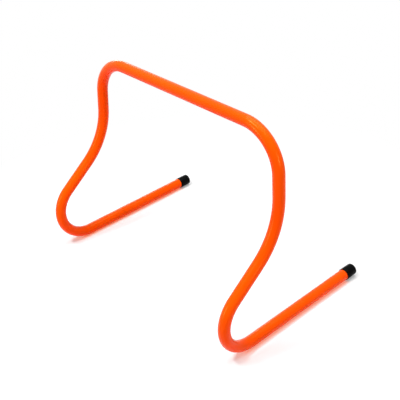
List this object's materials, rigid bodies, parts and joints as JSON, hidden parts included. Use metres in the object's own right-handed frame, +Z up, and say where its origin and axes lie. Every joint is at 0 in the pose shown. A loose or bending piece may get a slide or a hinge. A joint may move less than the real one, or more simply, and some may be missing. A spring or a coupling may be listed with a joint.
{
  "type": "speed hurdle",
  "caption": "Low free-standing training hurdle bent from one plastic tube: a crossbar on S-curved legs whose long feet run back along the floor to black push-on end caps.",
  "frame": {"origin": "on the floor, in the middle of the hurdle's width and depth", "axes": "+X along the crossbar to the right-hand side as seen from the toe bends, +Y from the toe bends back to the capped ends, +Z up"},
  "size_m": [0.45, 0.3131, 0.3475],
  "materials": {
    "tube": "smooth satin-gloss extruded plastic tube, bright orange all through",
    "cap": "soft black moulded plastic with a faint sheen"
  },
  "bodies": {
    "tube": {"bent_tube": "tube"},
    "left_cap": {"left_end_cap": "cap"},
    "right_cap": {"right_end_cap": "cap"}
  },
  "joints": [
    {"name": "left_cap_pull", "type": "slide", "parent": "tube", "child": "left_cap", "axis": [0, 1, 0.004], "range_m": [0, 0.025]},
    {"name": "right_cap_pull", "type": "slide", "parent": "tube", "child": "right_cap", "axis": [0, 1, 0.004], "range_m": [0, 0.025]}
  ]
}
